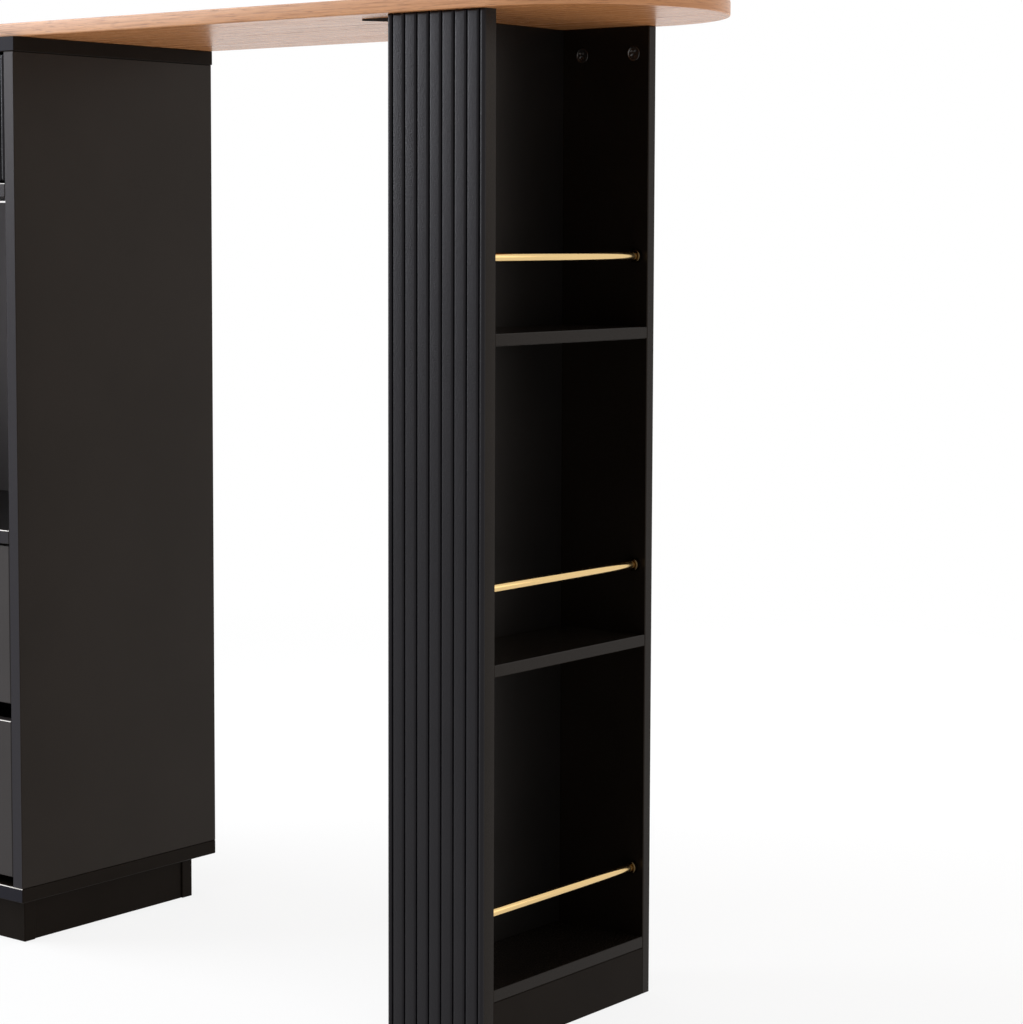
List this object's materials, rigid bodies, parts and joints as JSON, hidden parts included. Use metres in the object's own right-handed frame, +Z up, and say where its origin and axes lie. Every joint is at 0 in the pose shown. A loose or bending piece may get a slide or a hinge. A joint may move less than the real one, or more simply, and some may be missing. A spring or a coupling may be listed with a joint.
{
  "type": "kitchen island",
  "caption": "Bar-height kitchen island with a round-ended oak worktop over a drawer cabinet with a niche and a slim fluted tower of open shelves with guard rails.",
  "frame": {"origin": "on the floor, at the centre of the footprint", "axes": "+X along the worktop from the cabinet to the shelf tower, -Y towards the drawer fronts, +Z up"},
  "size_m": [1.1999, 0.303, 1.015],
  "materials": {
    "oak_laminate": "light oak-effect laminate, matt with fine grain",
    "black_laminate": "satin black laminate with a fine grained texture",
    "black_hardboard": "black painted hardboard",
    "drawer_board": "black melamine board",
    "gold_metal": "brushed gold",
    "runner_steel": "zinc-plated sheet steel",
    "zinc_steel": "zinc-plated steel",
    "black_steel": "black powder coat",
    "black_plastic": "matt black plastic",
    "beech": "raw beech"
  },
  "bodies": {
    "island": {"back_angle_bracket": "black_steel", "bottom_drawer_left_fixed_runner": "runner_steel", "bottom_drawer_right_fixed_runner": "runner_steel", "bracket_screws": "zinc_steel", "cabinet_bottom_panel": "black_laminate", "cabinet_dowels": "beech", "cabinet_left_side": "black_laminate", "cabinet_right_side": "black_laminate", "cabinet_top_panel": "black_laminate", "cam_bolts": "zinc_steel", "cam_locks": "zinc_steel", "drawer_divider": "black_laminate", "front_angle_bracket": "black_steel", "lower_back_sheet": "black_hardboard", "middle_drawer_left_fixed_runner": "runner_steel", "middle_drawer_right_fixed_runner": "runner_steel", "niche_shelf": "black_laminate", "plinth_back": "black_laminate", "plinth_front": "black_laminate", "plinth_left": "black_laminate", "plinth_right": "black_laminate", "push_latch": "black_plastic", "rail_sockets": "gold_metal", "top_drawer_left_fixed_runner": "runner_steel", "top_drawer_right_fixed_runner": "runner_steel", "tower_back_panel": "black_laminate", "tower_base_guard_rail": "gold_metal", "tower_base_shelf": "black_laminate", "tower_closed_side": "black_laminate", "tower_dowels": "beech", "tower_fluted_front": "black_laminate", "tower_kick_board": "black_laminate", "tower_lower_guard_rail": "gold_metal", "tower_lower_shelf": "black_laminate", "tower_upper_guard_rail": "gold_metal", "tower_upper_shelf": "black_laminate", "upper_back_sheet": "black_hardboard", "worktop": "oak_laminate", "worktop_screws": "zinc_steel"},
    "top_drawer": {"top_drawer_back": "drawer_board", "top_drawer_bottom": "black_hardboard", "top_drawer_front": "black_laminate", "top_drawer_left_moving_runner": "runner_steel", "top_drawer_left_side": "drawer_board", "top_drawer_right_moving_runner": "runner_steel", "top_drawer_right_side": "drawer_board"},
    "middle_drawer": {"middle_drawer_back": "drawer_board", "middle_drawer_bottom": "black_hardboard", "middle_drawer_front": "black_laminate", "middle_drawer_left_moving_runner": "runner_steel", "middle_drawer_left_side": "drawer_board", "middle_drawer_right_moving_runner": "runner_steel", "middle_drawer_right_side": "drawer_board"},
    "bottom_drawer": {"bottom_drawer_back": "drawer_board", "bottom_drawer_bottom": "black_hardboard", "bottom_drawer_front": "black_laminate", "bottom_drawer_left_moving_runner": "runner_steel", "bottom_drawer_left_side": "drawer_board", "bottom_drawer_right_moving_runner": "runner_steel", "bottom_drawer_right_side": "drawer_board"}
  },
  "joints": [
    {"name": "top_drawer_slide", "type": "slide", "parent": "island", "child": "top_drawer", "axis": [0, -1, 0], "range_m": [0, 0.18]},
    {"name": "middle_drawer_slide", "type": "slide", "parent": "island", "child": "middle_drawer", "axis": [0, -1, 0], "range_m": [0, 0.18]},
    {"name": "bottom_drawer_slide", "type": "slide", "parent": "island", "child": "bottom_drawer", "axis": [0, -1, 0], "range_m": [0, 0.18]}
  ]
}
